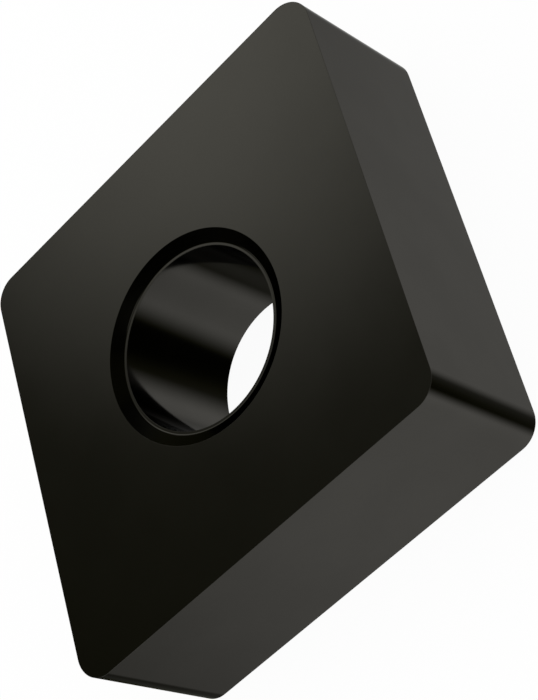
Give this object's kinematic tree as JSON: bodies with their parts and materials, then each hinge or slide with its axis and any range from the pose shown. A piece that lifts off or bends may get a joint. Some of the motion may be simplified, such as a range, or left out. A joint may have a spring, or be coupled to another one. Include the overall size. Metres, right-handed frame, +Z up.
{
  "type": "carbide insert",
  "caption": "Flat rhombic turning insert with upright flanks, rounded corners and a plain clamping bore through the middle, under a smooth black coating.",
  "frame": {"origin": "middle of the lower face, on the axis of the clamping bore", "axes": "+X along the long diagonal to a sharp corner, +Y along the short diagonal to a blunt corner, +Z up along the bore's axis, away from the lower face"},
  "size_m": [0.0188, 0.016, 0.0048],
  "materials": {
    "black_coating": "satin"
  },
  "bodies": {
    "root": {"insert": "black_coating"}
  },
  "joints": []
}
